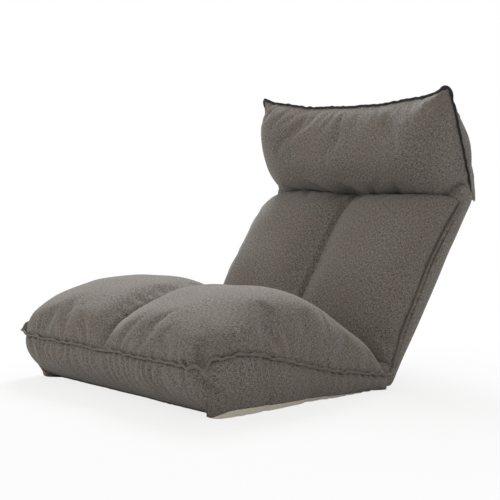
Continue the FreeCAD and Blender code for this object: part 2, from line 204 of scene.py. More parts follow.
# The pillow's side views, as (y, z): over its lobes, along its channel and along its side seams.
lobe_line = ((front_y, 0.086), (-0.2345, 0.101), (-0.231, 0.119), (-0.2155, 0.137), (-0.184, 0.154),
             (-0.140, 0.169), (-0.092, 0.181), (-0.045, 0.187), (-0.005, 0.187), (0.035, 0.179),
             (0.075, 0.160), (0.125, 0.130), (0.175, 0.093), (0.203, 0.060), (rear_y, 0.026))
channel_line = ((front_y, 0.084), (-0.222, 0.097), (-0.211, 0.112), (-0.192, 0.128), (-0.164, 0.143),
                (-0.128, 0.156), (-0.086, 0.166), (-0.043, 0.171), (-0.003, 0.170), (0.034, 0.158),
                (0.073, 0.137), (0.122, 0.103), (0.170, 0.067), (0.202, 0.038), (rear_y, 0.024))
side_seam = ((front_y, 0.088), (-0.222, 0.088), (-0.214, 0.099), (-0.190, 0.103), (-0.158, 0.106),
             (-0.108, 0.098), (-0.044, 0.080), (0.004, 0.064), (0.053, 0.053), (0.104, 0.043),
             (0.157, 0.034), (rear_y, 0.026))


def round_corners(points, reach_x, near_y, radius):
    """Draw in the two front corners of a plan."""
    right = np.maximum(0, (np.abs(points[..., 0]) - (reach_x - radius)) / radius)
    ahead = np.maximum(0, (near_y + radius - points[..., 1]) / radius)
    longest = np.maximum(right, ahead)
    share = np.where((right > 0) & (ahead > 0), longest / np.maximum(np.hypot(right, ahead), 1e-9), 1)
    turned = points.copy()
    pulled = np.sign(points[..., 0]) * (reach_x - radius + right * share * radius)
    turned[..., 0] = np.where(right > 0, pulled, points[..., 0])
    turned[..., 1] = np.where(ahead > 0, near_y + radius - ahead * share * radius, points[..., 1])
    return turned


def lobed_face(crest, channel, seam, columns, half_x, bulge, steep):
    """Grid over a two-lobed cushion, from its crests, its channel and its side seams in side view.

    Bulge is how far a lobe's side stands out past the seam, and steep how squarely it falls.
    A row keeps to the crest's place along the cushion until it is close to the side seam.
    """
    channel_reach = 0.5
    turn = np.linspace(0, math.pi / 2, 400)
    across = np.sin(turn) ** (2 / steep)
    height = np.cos(turn) ** (2 / 3)
    sewn = 1 - np.sqrt(1 - np.maximum(0, 1 - across / channel_reach) ** 2)
    rows = []
    for (a, b), (low_a, low_b), share in zip(crest, channel, np.linspace(0, 1, len(crest))):
        side_a = crest[0, 0] + (crest[-1, 0] - crest[0, 0]) * share
        side_b = height_at(seam, side_a)
        swell = bulge * 4 * height * (1 - height) * min(1, max(0, b - side_b) / (12 * bulge))
        half = spaced(np.column_stack([
            half_x * across + swell,
            a + (side_a - a) * across ** 10 + (low_a - a) * sewn,
            side_b + (b - side_b) * height + (low_b - b) * sewn]), columns // 2 + 1)
        rows.append(np.vstack([half[:0:-1] * (-1, 1, 1), half]))
    return np.array(rows)


def under_sheet(face, sink):
    """Sheet across a face's edge, sunk in the middle by a vector."""
    v = np.linspace(0, 1, face.shape[0])[:, None, None]
    u = np.linspace(0, 1, face.shape[1])[None, :, None]
    near, far, left, right = face[:1], face[-1:], face[:, :1], face[:, -1:]
    corners = ((1 - u) * (1 - v) * face[0, 0] + u * (1 - v) * face[0, -1]
               + (1 - u) * v * face[-1, 0] + u * v * face[-1, -1])
    sheet = (1 - v) * near + v * far + (1 - u) * left + u * right - corners
    return sheet + np.array(sink) * 16 * u * (1 - u) * v * (1 - v)


def closed_pillow(name, face, under):
    """Mesh of two sheets that share their edge. Each corner keeps its place on the flat cloth."""
    rows, columns = face.shape[:2]
    index = np.arange(rows * columns).reshape(rows, columns)
    inner_index = np.arange((rows - 2) * (columns - 2)).reshape(rows - 2, columns - 2)
    inner = np.full((rows, columns), -1)
    inner[1:-1, 1:-1] = rows * columns + inner_index
    below = np.where(inner < 0, index, inner)
    quads = []
    for sheet, order in ((index, (0, 1, 2, 3)), (below, (3, 2, 1, 0))):
        cells = np.stack([sheet[:-1, :-1], sheet[:-1, 1:], sheet[1:, 1:], sheet[1:, :-1]], axis=-1)
        quads.append(cells.reshape(-1, 4)[:, list(order)])
    points = np.vstack([face.reshape(-1, 3), under[1:-1, 1:-1].reshape(-1, 3)])
    wide = run(face[rows // 2])
    deep = run(face[:, columns // 2])
    flat = np.stack(np.meshgrid(wide - wide[-1] / 2, deep), axis=-1)
    cloth = np.vstack([flat.reshape(-1, 2), flat[1:-1, 1:-1].reshape(-1, 2)])
    return cloth_piece(name, points, np.vstack(quads), cloth)


def cloth_piece(name, points, faces, cloth):
    """Object of points and faces. Cloth is each point's place on the flat cloth, for the weave."""
    mesh = bpy.data.meshes.new(name)
    mesh.from_pydata([tuple(p) for p in points], [], [tuple(int(i) for i in f) for f in faces])
    laid = mesh.attributes.new("cloth", "FLOAT_VECTOR", "POINT")
    flat = np.column_stack([cloth, np.zeros(len(cloth))]).astype(np.float32)
    laid.data.foreach_set("vector", flat.ravel())
    mesh.shade_smooth()
    piece = bpy.data.objects.new(name, mesh)
    scene.collection.objects.link(piece)
    return piece


def places(piece):
    flat = np.empty(len(piece.data.vertices) * 3)
    piece.data.vertices.foreach_get("co", flat)
    return flat.reshape(-1, 3)


def normals(piece):
    flat = np.empty(len(piece.data.vertices) * 3, np.float32)
    piece.data.vertex_normals.foreach_get("vector", flat)
    return flat.reshape(-1, 3).astype(float)


def set_places(piece, points):
    piece.data.vertices.foreach_set("co", np.ascontiguousarray(points).ravel())
    piece.data.update()


def puff(piece, held, pressure, slack, cap):
    """Let the filling press the cloth out.

    Held is how firmly each point is sewn down, slack the cloth's spare length, and cap the
    furthest that a point may move.
    """
    last_frame = 20
    start = places(piece)
    group = piece.vertex_groups.new(name="sewn")
    for i, weight in enumerate(held):
        if weight > 0:
            group.add([i], float(weight), "REPLACE")
    modifier = piece.modifiers.new("cloth", "CLOTH")
    cloth = modifier.settings
    cloth.quality = 5
    cloth.mass = 0.3
    cloth.tension_stiffness = 15
    cloth.compression_stiffness = 12
    cloth.shear_stiffness = 5
    cloth.bending_stiffness = 0.6
    cloth.air_damping = 2
    cloth.vertex_group_mass = "sewn"
    cloth.use_pressure = True
    cloth.uniform_pressure_force = pressure
    cloth.shrink_min = -slack
    cloth.effector_weights.gravity = 0
    modifier.collision_settings.use_collision = False
    modifier.collision_settings.use_self_collision = False
    modifier.point_cache.frame_start = 1
    modifier.point_cache.frame_end = last_frame
    for step in range(1, last_frame + 1):
        scene.frame_set(step)
    shift = places(piece.evaluated_get(bpy.context.evaluated_depsgraph_get())) - start
    size = np.linalg.norm(shift, axis=1, keepdims=True)
    piece.modifiers.remove(modifier)
    piece.vertex_groups.remove(group)
    scene.frame_set(1)
    set_places(piece, start + shift * np.minimum(1, cap / np.maximum(size, 1e-9)))


def press(piece, creases):
    """Press in creases, each a line's points, its depth and half width. Cloth rises beside them."""
    steps = 40
    ridge_height = 0.45
    ridge_place = 2.1
    ridge_width = 0.9
    for line, depth, width in creases:
        points = places(piece)
        out = normals(piece)
        track = along(line, steps)
        gaps = np.linalg.norm(points[:, None, :] - track[None], axis=2)
        nearest = gaps.argmin(axis=1)
        gap = gaps.min(axis=1) / width
        fade = np.sin(math.pi * np.clip((nearest + 0.5) / steps, 0, 1)) ** 0.6
        ridge = ridge_height * np.exp(-((gap - ridge_place) / ridge_width) ** 2)
        shape = ridge - np.exp(-gap ** 2)
        set_places(piece, points + out * (depth * fade * shape)[:, None])


def ruffle(piece, edge_gap, edge_run, gather, reach, wave, lumps, lump_size, seed, loose=1.0):
    """Gathers that run out from a seam, and soft lumps over the whole cloth where it is loose."""
    drift_rate = 0.45
    strength_rate = 0.21
    wander = 5
    points = places(piece)
    out = normals(piece)
    shift = np.zeros(len(points))
    for i, (p, gap, s) in enumerate(zip(points, edge_gap, edge_run)):
        lump = noise.noise(Vector(p) / lump_size + Vector((seed, 0, 0)))
        shift[i] = lumps * lump
        if gap < 4 * reach:
            drift = noise.noise(Vector((s / wave * drift_rate, seed, gap / reach)))
            strong = 0.5 + noise.noise(Vector((s / wave * strength_rate, seed + 7, 0)))
            fold = math.sin(s / wave * 2 * math.pi + wander * drift)
            shift[i] += gather * strong * math.exp(-gap / reach) * fold
    set_places(piece, points + out * (shift * loose)[:, None])


def smooth_finish(piece):
    """One subdivision, applied. The cloth's own points keep their numbers."""
    modifier = piece.modifiers.new("smooth", "SUBSURF")
    modifier.levels = 1
    modifier.use_limit_surface = False
    shown = piece.evaluated_get(bpy.context.evaluated_depsgraph_get())
    finer = bpy.data.meshes.new_from_object(shown)
    piece.modifiers.remove(modifier)
    piece.data = finer
    finer.shade_smooth()


def linen(name, tone, thread=0.0013, sheen=0.25, mixed=1.0):
    """Linen weave: slubby warp and weft of mixed yarns, with the cloth's grain as bump."""
    look = Look(bpy.data.materials.new(name))
    where = look.node("ShaderNodeAttribute", {"attribute_name": "cloth"}, out="Vector")
    u = look.node("ShaderNodeSeparateXYZ", None, [where], "X")
    v = look.node("ShaderNodeSeparateXYZ", None, [where], "Y")

    def yarns(along_u, along_v):
        stretched = look.node("ShaderNodeCombineXYZ", None, [u * along_u, v * along_v, 0.0])
        return look.node("ShaderNodeTexNoise", None,
                         {"Vector": stretched, "Scale": 1.0, "Detail": 2.0, "Roughness": 0.65})

    lengthwise = 190.0
    crosswise = 640.0
    weft = yarns(lengthwise, crosswise)
    warp = yarns(crosswise, lengthwise)
    blotch = look.node("ShaderNodeTexNoise", None, {"Vector": where, "Scale": 14.0, "Detail": 3.0})
    fleck = (weft + warp) * 0.5
    contrast = look.node("ShaderNodeMapRange", None, [fleck, 0.40, 0.60, 0.0, 1.0])
    dark = tuple(c * (1 - 0.62 * mixed) for c in tone) + (1,)
    bleach = (1 + 0.72 * mixed, 1 + 0.78 * mixed, 1 + 0.86 * mixed)
    light = tuple(c * k for c, k in zip(tone, bleach)) + (1,)
    yarn = look.mix(contrast, dark, light)
    warm = tuple(c * k for c, k in zip(tone, (1.12, 0.98, 0.84))) + (1,)
    worn = look.node("ShaderNodeMapRange", None, [blotch, 0.35, 0.7, 0.0, 0.30])
    over = (u * (2 * math.pi / thread)).math("SINE")
    under = (v * (2 * math.pi / thread)).math("SINE")
    grain = over * under * 0.4 + fleck * 1.4
    bump = look.node("ShaderNodeBump", None,
                     {"Strength": 0.3, "Distance": 0.0007, "Height": grain}, "Normal")
    shader = look.node("ShaderNodeBsdfPrincipled", None, {
        "Base Color": look.mix(worn, yarn, warm), "Roughness": 0.92, "Sheen Weight": sheen,
        "Sheen Roughness": 0.45, "Specular IOR Level": 0.2, "Normal": bump})
    return look.end("ShaderNodeOutputMaterial", shader)


grey_tone = (0.178, 0.158, 0.138)
grey_linen = linen("grey_linen", grey_tone)


def edge_measures(face):
    """For each point of a grid, its way to the nearest edge and its place along that edge."""
    wide = run(face[face.shape[0] // 2])
    deep = run(face[:, face.shape[1] // 2])
    u, v = np.meshgrid(wide, deep)
    gaps = np.stack([v, deep[-1] - v, u, wide[-1] - u])
    side = gaps.argmin(axis=0)
    return gaps.min(axis=0).ravel(), np.where(side < 2, u, v).ravel()


def held_points(face, total, firm_columns, under_held):
    """Seams and channels that the cloth simulation holds."""
    rows, columns = face.shape[:2]
    held = np.zeros((rows, columns))
    held[[0, -1], :] = 1
    held[:, [0, -1]] = 1
    for column, weight in firm_columns.items():
        held[:, column] = np.maximum(held[:, column], weight)
    rest = np.full(total - rows * columns, float(under_held))
    return np.concatenate([held.ravel(), rest])


seat_face = lobed_face(along(lobe_line, seat_rows), along(channel_line, seat_rows), side_seam,
                       seat_columns, half_x=seam_x, bulge=seat_overhang, steep=6)
seat_face = round_corners(seat_face, seam_x, front_y, corner_radius)
seat_pillow = closed_pillow("seat_pillow_linen", seat_face, under_sheet(seat_face, (0, 0, -0.006)))
held = held_points(seat_face, len(seat_pillow.data.vertices), {seat_columns // 2: 1}, under_held=1)
puff(seat_pillow, held, pressure=3.0, slack=0.035, cap=0.016)
gaps, runs = edge_measures(seat_face)
hidden = len(seat_pillow.data.vertices) - len(gaps)
ruffle(seat_pillow, np.r_[gaps, np.ones(hidden)], np.r_[runs, np.zeros(hidden)],
       gather=0.0022, reach=0.014, wave=0.026, lumps=0.0040, lump_size=0.085, seed=3.0)
press(seat_pillow, [
    ([(0, y, z) for y, z in channel_line], 0.006, 0.0055),
    (((0.291, -0.060, 0.094), (0.292, -0.075, 0.118), (0.282, -0.092, 0.150)), 0.006, 0.007)])
smooth_finish(seat_pillow)
press(seat_pillow, [
    (((0.266, -0.218, 0.097), (0.266, -0.221, 0.108), (0.260, -0.220, 0.128),
      (0.247, -0.211, 0.146)), 0.006, 0.004),
    (((0.290, -0.169, 0.108), (0.293, -0.166, 0.118), (0.293, -0.162, 0.134),
      (0.287, -0.156, 0.152)), 0.006, 0.004),
    (((0.238, -0.226, 0.086), (0.240, -0.234, 0.100), (0.236, -0.234, 0.118)), 0.005, 0.0045),
    (((-0.120, -0.229, 0.086), (-0.122, -0.235, 0.104), (-0.118, -0.230, 0.128)), 0.003, 0.004),
    (((-0.205, -0.228, 0.086), (-0.204, -0.234, 0.104), (-0.200, -0.228, 0.126)), 0.003, 0.004)])
seat_pillow.data.materials.append(grey_linen)
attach(seat_pillow, "seat")
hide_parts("seat_pillow")


# Seat base: a foam block under the pillow, in the same linen. The border is gathered a
# little on the front, sewn in a box seam near each front corner, and turned in at the floor.

foot_front = 0.060
foot_side = 0.013
base_swell = 0.006
base_rows = 19
border_gather = 0.0030
seam_points = 840
rear_fade = 0.03
turn_span = 6


def grid_edge(face):
    """Numbers of the points round a grid's edge, from rear left by way of front left."""
    index = np.arange(face.shape[0] * face.shape[1]).reshape(face.shape[:2])
    return np.concatenate([index[::-1, 0], index[0, 1:], index[1:, -1], index[-1, -2:0:-1]])


def even_ring(edge, count):
    """Points spread evenly round a closed edge."""
    return spaced(np.vstack([edge, edge[:1]]), count + 1)[:-1]


seam_ring = even_ring(places(seat_pillow)[grid_edge(seat_face)], seam_points)
turning = np.roll(seam_ring, -turn_span, axis=0) - np.roll(seam_ring, turn_span, axis=0)
outward = np.column_stack([-turning[:, 1], turning[:, 0], np.zeros(len(turning))])
outward *= -1 / np.linalg.norm(outward, axis=1, keepdims=True)
ring_run = run(seam_ring)
rear_side = np.clip((seam_ring[:, 1] - (rear_y - rear_fade)) / rear_fade, 0, 1)
ahead_share = np.clip(-outward[:, 1], 0, 1)
foot = foot_side + (foot_front - foot_side) * ahead_share ** 0.7


def border_stand(share):
    """How far the border stands out from the seam, at a share of the way down to the floor."""
    swell = base_swell * np.sin(math.pi * np.minimum(1, share * 1.05)) ** 0.8
    return (swell - foot * share ** 2.1) * (1 - rear_side)


def base_ring(share):
    """The border's outline at a share of the way from the seam to the floor."""
    ring = seam_ring + outward * border_stand(share)[:, None]
    ring[:, 2] = seam_ring[:, 2] * (1 - share)
    return ring


def tube_faces(count, rings):
    """Faces that join rings of points in turn, and then those that fill the first and the last."""
    here = np.arange(count)
    after = np.roll(here, -1)
    faces = []
    for low in range(0, (rings - 1) * count, count):
        quads = np.column_stack([low + here, low + after, low + count + after, low + count + here])
        faces += [tuple(quad) for quad in quads]
    return faces + [tuple(here[::-1]), tuple(here + (rings - 1) * count)]


def stacked(rings, ends):
    """Faces of rings that run down, turned outward. The last ring is filled, or both ends are."""
    *quads, top, bottom = tube_faces(len(rings[0]), len(rings))
    fills = [bottom[::-1], top[::-1]]
    return [quad[:1] + quad[:0:-1] for quad in quads] + fills[:ends]


def shrunk(ring, share, lift):
    """A ring drawn in to a share of its size, and lifted."""
    centre = ring.mean(axis=0)
    smaller = centre + (ring - centre) * share
    smaller[:, 2] += lift
    return smaller


base_floor = 0.0022
taut_under = 0.016
taut_fade = 0.02
border_rings = [base_ring(share) for share in np.linspace(0, 1, base_rows)]
for ring in border_rings:
    ring[:, 2] = np.maximum(ring[:, 2], base_floor)
rings = [shrunk(border_rings[0], 0.5, -0.012), shrunk(border_rings[0], 0.9, -0.006)] + border_rings
rings += [shrunk(border_rings[-1], 0.9, 0), shrunk(border_rings[-1], 0.5, 0)]
depth_run = np.linspace(0, 0.1, base_rows)
cloth_rows = [-0.15, -0.03] + list(depth_run) + [0.13, 0.25]
cloth = np.vstack([np.column_stack([ring_run, np.full(len(ring_run), v)]) for v in cloth_rows])
seat_base = cloth_piece("seat_base_linen", np.vstack(rings), stacked(rings, 2), cloth)
drop = np.concatenate([[1.0, 1.0], depth_run, [1.0, 1.0]])
loose = np.clip((places(seat_base)[:, 2] - taut_under) / taut_fade, 0, 1)
ruffle(seat_base, np.repeat(drop, len(seam_ring)), np.tile(ring_run, len(rings)),
       gather=border_gather, reach=0.06, wave=0.019, lumps=0.0030, lump_size=0.07, seed=11.0,
       loose=loose)
press(seat_base, [
    (((0.288, -0.158, 0.098), (0.293, -0.158, 0.060), (0.284, -0.158, 0.016)), 0.0025, 0.0025),
    (((-0.288, -0.158, 0.098), (-0.293, -0.158, 0.060), (-0.284, -0.158, 0.016)), 0.0025, 0.0025),
    (((0.262, -0.232, 0.082), (0.279, -0.216, 0.062), (0.288, -0.190, 0.036)), 0.009, 0.007),
    (((0.200, -0.236, 0.082), (0.214, -0.234, 0.060), (0.232, -0.226, 0.040)), 0.004, 0.005)])
seat_base.data.materials.append(grey_linen)
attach(seat_base, "seat")
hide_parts("seat_base_foam", "seat_border")


# Base cloth: a panel of undyed cotton under the seat. Its edge turns up round the seat and
# is sewn to the border, highest behind the front corners and not at all along the front.

cream_tone = (0.80, 0.76, 0.68)
cream_cotton = linen("cream_cotton", cream_tone, thread=0.0016, sheen=0.1, mixed=0.12)
hem_line = ((front_y, 0.0), (-0.200, 0.001), (-0.180, 0.010), (-0.150, 0.013), (-0.050, 0.010),
            (0.060, 0.007), (0.140, 0.003), (rear_y, 0.002))
cloth_stand = 0.0012
cloth_rest = 0.0007
hem_rows = 6


def hem_ring(share):
    """Base cloth's outline, from its hem down to the floor."""
    z = height_at(hem_line, seam_ring[:, 1]) * (1 - rear_side) * (1 - share)
    fall = 1 - z / seam_ring[:, 2]
    ring = seam_ring + outward * (border_stand(fall) + cloth_stand)[:, None]
    ring[:, 2] = np.maximum(z, cloth_rest)
    return ring


hems = [hem_ring(share) for share in np.linspace(0, 1, hem_rows)]
rows = hems + [shrunk(hems[-1], share, 0) for share in (0.9, 0.6, 0.25)]
cloth = np.vstack([ring[:, :2] for ring in rows])
base_cloth = cloth_piece("base_cloth_cotton", np.vstack(rows), stacked(rows, 1), cloth)
base_cloth.data.materials.append(cream_cotton)
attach(base_cloth, "seat")
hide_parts("seat_base_cloth")


# Seam of the seat: both cloths' edges stand out together as a flange, overlocked along
# its rim. It waves in and out, folds where it goes round the near corner, and ends in an ear
# at the far front corner.

flange_wide = 0.0095
flange_thick = 0.0040


def flange(name, path, out, wide, thick, wave, seed):
    """Two cloth edges sewn together along a path: a thin strip that stands out and flops a little."""
    ring = 10
    sunk = 0.0015
    slow_rate = 34
    quick_rate = 210
    width_rate = 90
    turns = np.linspace(0, 2 * math.pi, ring, endpoint=False)
    length = run(path)
    wide = np.broadcast_to(wide, len(path))
    tangents = np.gradient(path, axis=0)
    tangents /= np.linalg.norm(tangents, axis=1, keepdims=True)
    points = []
    for p, t, o, s, w in zip(path, tangents, out, length, wide):
        o = o - t * np.dot(o, t)
        o /= np.linalg.norm(o)
        n = np.cross(t, o)
        slow = noise.noise(Vector((s * slow_rate, seed, 0)))
        quick = math.sin(s * quick_rate + 3 * seed)
        flop = wave * (1.3 * slow + 0.35 * quick)
        o, n = o * math.cos(flop) + n * math.sin(flop), n * math.cos(flop) - o * math.sin(flop)
        w *= 1 + 0.25 * noise.noise(Vector((s * width_rate, seed + 3, 0)))
        for turn in turns:
            rim = 0.8 + 0.3 * math.cos(turn)
            stand = w * (0.5 + 0.5 * math.cos(turn)) - sunk
            points.append(p + o * stand + n * thick * 0.5 * rim * math.sin(turn))
    around = np.tile(turns / (2 * math.pi) * 0.02, len(path))
    cloth = np.column_stack([np.repeat(length, ring), around])
    return cloth_piece(name, np.array(points), tube_faces(ring, len(path)), cloth)


def overlocked(name, tone):
    """Folded linen edge bound by close overlock stitches."""
    stitch_pitch = 0.0024
    look = Look(bpy.data.materials.new(name))
    where = look.node("ShaderNodeAttribute", {"attribute_name": "cloth"}, out="Vector")
    u = look.node("ShaderNodeSeparateXYZ", None, [where], "X")
    thread = (u * (2 * math.pi / stitch_pitch)).math("SINE") * 0.5 + 0.5
    fuzz = look.node("ShaderNodeTexNoise", None, {"Vector": where, "Scale": 900.0, "Detail": 2.0})
    dark = tuple(c * 0.6 for c in tone) + (1,)
    light = tuple(c * 1.25 for c in tone) + (1,)
    colour = look.mix(thread * 0.55 + fuzz * 0.45, dark, light)
    stitch = thread + fuzz * 0.5
    bump = look.node("ShaderNodeBump", None,
                     {"Strength": 0.6, "Distance": 0.0010, "Height": stitch}, "Normal")
    shader = look.node("ShaderNodeBsdfPrincipled", None, {
        "Base Color": colour, "Roughness": 0.9, "Sheen Weight": 0.15,
        "Specular IOR Level": 0.2, "Normal": bump})
    return look.end("ShaderNodeOutputMaterial", shader)


seam_tone = (0.215, 0.192, 0.168)
seam_binding = overlocked("seam_binding", seam_tone)
fold_place = np.array((0.276, -0.218, 0.092))
fold_size = 0.034
fold_stand = 0.0030
fold_lift = 0.0040
ear_place = (0.278, 0.216, 0.09)
ear_size = 0.012
ear_growth = 0.8
open_seam = rear_side < 0.99
on_seam = seam_ring[open_seam]
seam_out = outward[open_seam]
near_fold = np.exp(-(np.linalg.norm(on_seam - fold_place, axis=1) / fold_size) ** 4)
waves = near_fold * np.sin(run(on_seam) * 2 * math.pi / fold_size)
seam_path = on_seam + seam_out * (fold_stand * near_fold)[:, None]
seam_path[:, 2] += fold_lift * waves
ear_gap = np.linalg.norm(np.abs(on_seam) - ear_place, axis=1)
ear = np.exp(-(ear_gap / ear_size) ** 2) * (on_seam[:, 0] < 0)
upward = np.array((0, 0, 0.6))
flange_reach = flange_wide * (1 + ear_growth * ear)
seat_flange = flange("seat_flange", seam_path, seam_out + upward, flange_reach, flange_thick,
                     wave=0.5, seed=5.0)
seat_flange.data.materials.append(seam_binding)
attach(seat_flange, "seat")
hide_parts("seat_seam_flange")


# Back pad: a softer pad in two lobes, of the same linen, sewn to the side strips of the back
# and drawn in along the middle. It is drawn here in the back's own frame: u up the back from
# the recline axis, w out of its front.

joints = {joint["name"]: joint for joint in frame["joints"]}
recline = np.array(joints["back_recline"]["pos_m"])
head_axis = np.array(joints["head_tilt"]["pos_m"])
back_length = float(np.linalg.norm(head_axis - recline))
back_turn = math.atan2(head_axis[2] - recline[2], head_axis[1] - recline[1])
head_angle = 55.5
head_turn = back_turn + math.radians(head_angle)


def on_board(axis, turn, points):
    """Points (x, u, w) of a board, in the row frame."""
    x, u, w = np.moveaxis(np.asarray(points, float), -1, 0)
    y = axis[1] + u * math.cos(turn) - w * math.sin(turn)
    z = axis[2] + u * math.sin(turn) + w * math.cos(turn)
    return np.stack([x, y, z], axis=-1)


def on_back(points):
    return on_board(recline, back_turn, points)


def on_head(points):
    return on_board(head_axis, head_turn, points)


pad_x = 0.262
pad_rows = 68
pad_columns = 91
pad_line = ((0.010, 0.000), (0.016, 0.012), (0.032, 0.0175), (0.055, 0.028), (0.090, 0.044),
            (0.130, 0.056), (0.180, 0.063), (0.240, 0.063), (0.300, 0.062), (0.345, 0.057),
            (0.374, 0.045), (0.390, 0.028), (0.394, 0.008))
pad_seam = ((0.010, -0.004), (0.053, 0.004), (0.082, 0.010), (0.146, 0.014), (0.228, 0.0185),
            (0.263, 0.018), (0.317, 0.014), (0.369, 0.007), (0.394, 0.004))
pad_channel = ((0.012, -0.004), (0.022, 0.002), (0.040, 0.007), (0.060, 0.014), (0.080, 0.024),
               (0.100, 0.033), (0.126, 0.040), (0.180, 0.044), (0.240, 0.046), (0.300, 0.044),
               (0.345, 0.038), (0.372, 0.028), (0.388, 0.014), (0.394, 0.004))
pad_view = lobed_face(along(pad_line, pad_rows), along(pad_channel, pad_rows), pad_seam,
                      pad_columns, half_x=pad_x, bulge=0.004, steep=7)
pad_face = on_back(pad_view)
inward = on_back([0, 0, -0.004]) - on_back([0, 0, 0])
back_pad = closed_pillow("back_pad_linen", pad_face, under_sheet(pad_face, inward))
held = held_points(pad_face, len(back_pad.data.vertices), {pad_columns // 2: 1}, under_held=1)
puff(back_pad, held, pressure=3.0, slack=0.025, cap=0.012)
gaps, runs = edge_measures(pad_face)
hidden = len(back_pad.data.vertices) - len(gaps)
ruffle(back_pad, np.r_[gaps, np.ones(hidden)], np.r_[runs, np.zeros(hidden)],
       gather=0.0012, reach=0.012, wave=0.030, lumps=0.0035, lump_size=0.09, seed=21.0)
press(back_pad, [(on_back([(0, u, w + 0.002) for u, w in pad_channel]), 0.006, 0.006)])
smooth_finish(back_pad)
back_pad.data.materials.append(grey_linen)
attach(back_pad, "back")
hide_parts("back_pad")


# Back body: foam over the frame, in linen, with a strip sewn in down each side. It ends
# in a roll round each axis.

body_x = 0.262
rear_w = -0.024
foot_radius = 0.0175
foot_growth = 0.0065
floor_gap = 0.0006


def body_outline():
    """Side view of the back: up the rear, round the head axis, down under the pad."""
    up = np.column_stack([np.linspace(0.0, back_length, 60), np.full(60, rear_w)])
    turn = np.radians(np.linspace(-88, 80, 20))[:, None]
    over = np.array([[back_length, 0]]) + abs(rear_w) * np.hstack([np.cos(turn), np.sin(turn)])
    front = along(pad_seam[::-1], 50)
    bend = np.radians(np.linspace(170, 268, 12))[:, None]
    widening = foot_growth * np.maximum(0, bend - bend[0]) / math.radians(60)
    reach = np.minimum(abs(rear_w), foot_radius + widening)
    under = reach * np.hstack([np.cos(bend), np.sin(bend)])
    return spaced(np.vstack([up, over, front, under]), 150)[:-1]


side_view = body_outline()
spine = np.column_stack([np.clip(side_view[:, 0], 0.012, back_length - 0.004),
                         np.clip(side_view[:, 1], -0.012, -0.002)])
side_swell = 0.0035
side_rings = []
for share in (0.85, 0.5, 0.2, 0.0):
    flat = side_view * (1 - share) + spine * share
    side_rings.append((body_x + side_swell * share, flat))
stations = [(-x, flat) for x, flat in side_rings]
stations += [(x, side_view) for x in np.linspace(-body_x + 0.004, body_x - 0.004, 75)]
stations += [(x, flat) for x, flat in reversed(side_rings)]
body_rings = [on_back(np.column_stack([np.full(len(flat), x), flat])) for x, flat in stations]
outline_run = run(side_view)
cloth = []
for x, flat in stations:
    if abs(x) >= body_x:
        cloth.append(np.column_stack([flat[:, 1] + x * 3, flat[:, 0]]))
    else:
        cloth.append(np.column_stack([np.full(len(flat), x), outline_run]))
back_body = cloth_piece("back_body_linen", np.vstack(body_rings),
                        tube_faces(len(side_view), len(body_rings)), np.vstack(cloth))
far = np.ones(len(back_body.data.vertices))
ruffle(back_body, far, far, gather=0, reach=0.01, wave=0.03, lumps=0.0022, lump_size=0.08, seed=31.0)
resting = places(back_body)
resting[:, 2] = np.maximum(resting[:, 2], floor_gap)
set_places(back_body, resting)
back_body.data.materials.append(grey_linen)
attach(back_body, "back")
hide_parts("back_foam", "back_rear_cover", "back_side_gusset_left", "back_side_gusset_right")


# Seams of the back: the pad's edge stands out along each side strip as two close folds.

side_steps = 120
pad_side_u = np.linspace(0.022, 0.385, side_steps)
pad_side_w = height_at(pad_seam, pad_side_u)
for side, sign in (("left", -1), ("right", 1)):
    for fold, (lift, reach) in enumerate(((0.0, 0.0075), (-0.0105, 0.0050))):
        side_x = np.full(side_steps, sign * (body_x + 0.0005))
        path = on_back(np.column_stack([side_x, pad_side_u, pad_side_w + lift]))
        out = np.tile(on_back([sign, 0, 0.25]) - on_back([0, 0, 0]), (side_steps, 1))
        fold_piece = flange("back_seam_%s_%d" % (side, fold + 1), path, out, reach, thick=0.0028,
                            wave=0.18, seed=9.0 + fold)
        fold_piece.data.materials.append(seam_binding)
        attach(fold_piece, "back")
        if side == "left" and fold == 0:
            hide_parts("back_seam_flange")


# Headrest: one pillow of two linen faces sewn together all round, plump in front and
# behind, over a foam core. Its lower edge is drawn in at the middle where it meets the
# back's channel.

head_x = 0.265
head_rows = 46
head_columns = 95
seam_w = -0.023
head_bottom = -0.004
head_top = 0.219
top_sag = 0.024
ear_rise = 0.004
ear_reach = 0.026
end_drop = 0.88

# Each face's side view, as its share of the way up the pillow and how far it stands out of the seam.
head_front_line = ((0.00, 0.000), (0.00, 0.018), (0.03, 0.036), (0.10, 0.053), (0.22, 0.071),
                   (0.40, 0.083), (0.58, 0.084), (0.75, 0.072), (0.88, 0.050), (0.965, 0.024),
                   (1.00, 0.000))
head_rear_line = ((0.00, 0.000), (-0.085, -0.012), (-0.07, -0.028), (0.01, -0.039), (0.16, -0.048),
                  (0.38, -0.050), (0.58, -0.044), (0.75, -0.034), (0.90, -0.018), (1.00, 0.000))


def head_face(line, steep):
    """Grid over one face of the headrest. Steep is how squarely it falls to the ends."""
    shares = along(line, head_rows)
    across = np.linspace(-1, 1, head_columns)
    across = np.sign(across) * (1 - (1 - np.abs(across)) ** 1.25)
    rows = []
    x = head_x * across
    ear = np.exp(-((1 - np.abs(across)) * head_x / ear_reach) ** 2)
    top = head_top - ear_rise - top_sag * (1 - across ** 2) + ear_rise * ear
    end = 1 - end_drop * np.abs(across) ** steep
    for share, out in shares:
        u = head_bottom + np.clip(share, 0 if share > -0.001 else share, 1) * (top - head_bottom)
        w = seam_w + out * end
        rows.append(np.column_stack([x, u, w]))
    face = np.array(rows)
    face[:, 0, 2] = seam_w
    face[:, -1, 2] = seam_w
    return face


